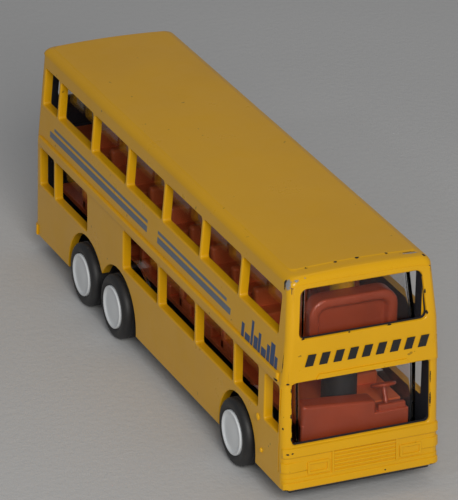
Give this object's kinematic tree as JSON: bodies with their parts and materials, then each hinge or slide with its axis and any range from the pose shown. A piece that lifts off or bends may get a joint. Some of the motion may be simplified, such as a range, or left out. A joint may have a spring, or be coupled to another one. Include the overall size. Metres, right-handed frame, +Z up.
{
  "type": "die-cast toy double decker bus",
  "caption": "Small die-cast toy of a closed-top double decker bus with a painted shell, clear windows, moulded seats and free-rolling wheels.",
  "frame": {"origin": "on the ground under the middle of the bus's bounding box", "axes": "+Z up, -Y towards the front of the bus, +X towards the driver's side"},
  "size_m": [0.033, 0.1208, 0.0439],
  "materials": {
    "yellow_enamel": "gloss enamel on cast zinc, chipped at edges",
    "clear_glazing": "clear polished styrene",
    "orange_plastic": "semi-matt moulded plastic",
    "black_plastic": "moulded satin plastic",
    "bright_steel": "bright drawn wire and screws",
    "white_plastic": "smooth moulded plastic",
    "black_rubber": "matt soft plastic tyres"
  },
  "bodies": {
    "bus": {"body_casting": "yellow_enamel", "upper_glazing": "clear_glazing", "lower_glazing": "clear_glazing", "upper_deck_seats": "orange_plastic", "lower_deck_seats": "orange_plastic", "dashboard": "orange_plastic", "steering_wheel": "orange_plastic", "base_plate": "black_plastic", "front_screw": "bright_steel", "rear_screw": "bright_steel"},
    "front_wheels": {"front_axle_rod": "bright_steel", "front_left_hub": "white_plastic", "front_left_tyre": "black_rubber", "front_right_hub": "white_plastic", "front_right_tyre": "black_rubber"},
    "middle_wheels": {"middle_axle_rod": "bright_steel", "middle_left_hub": "white_plastic", "middle_left_tyre": "black_rubber", "middle_right_hub": "white_plastic", "middle_right_tyre": "black_rubber"},
    "rear_wheels": {"rear_axle_rod": "bright_steel", "rear_left_hub": "white_plastic", "rear_left_tyre": "black_rubber", "rear_right_hub": "white_plastic", "rear_right_tyre": "black_rubber"}
  },
  "joints": [
    {"name": "front_axle_spin", "type": "hinge", "parent": "bus", "child": "front_wheels", "pos_m": [0, -0.04, 0.0063], "axis": [1, 0, 0], "continuous": true},
    {"name": "middle_axle_spin", "type": "hinge", "parent": "bus", "child": "middle_wheels", "pos_m": [0, 0.0165, 0.0063], "axis": [1, 0, 0], "continuous": true},
    {"name": "rear_axle_spin", "type": "hinge", "parent": "bus", "child": "rear_wheels", "pos_m": [0, 0.0322, 0.0063], "axis": [1, 0, 0], "continuous": true}
  ]
}
